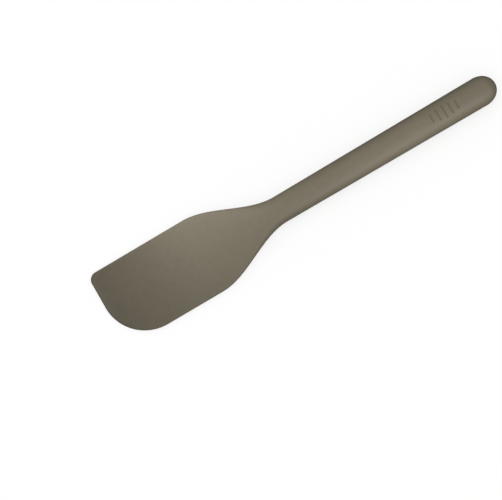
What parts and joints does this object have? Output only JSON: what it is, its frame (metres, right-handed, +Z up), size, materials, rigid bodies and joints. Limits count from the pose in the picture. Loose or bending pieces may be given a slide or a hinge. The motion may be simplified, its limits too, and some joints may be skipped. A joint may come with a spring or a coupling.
{
  "type": "silicone spatula",
  "caption": "One-piece silicone dough spatula: a thin flexible blade with one tight and one round corner, flowing through a neck into an oval handle over a stiff inner core.",
  "frame": {"origin": "under the middle of the spatula's box, on the plane that its flat back lies on", "axes": "+X along the length from the blade's tip to the handle's end, +Y to the tight blade corner's side, +Z up out of the front face"},
  "size_m": [0.29, 0.0538, 0.0119],
  "materials": {
    "silicone": "matte taupe silicone with a faint moulded grain",
    "glass_filled_nylon": "dull dark moulded nylon with a fibre grain"
  },
  "bodies": {
    "root": {"silicone_body": "silicone", "nylon_core": "glass_filled_nylon", "back_seal": "silicone"}
  },
  "joints": []
}
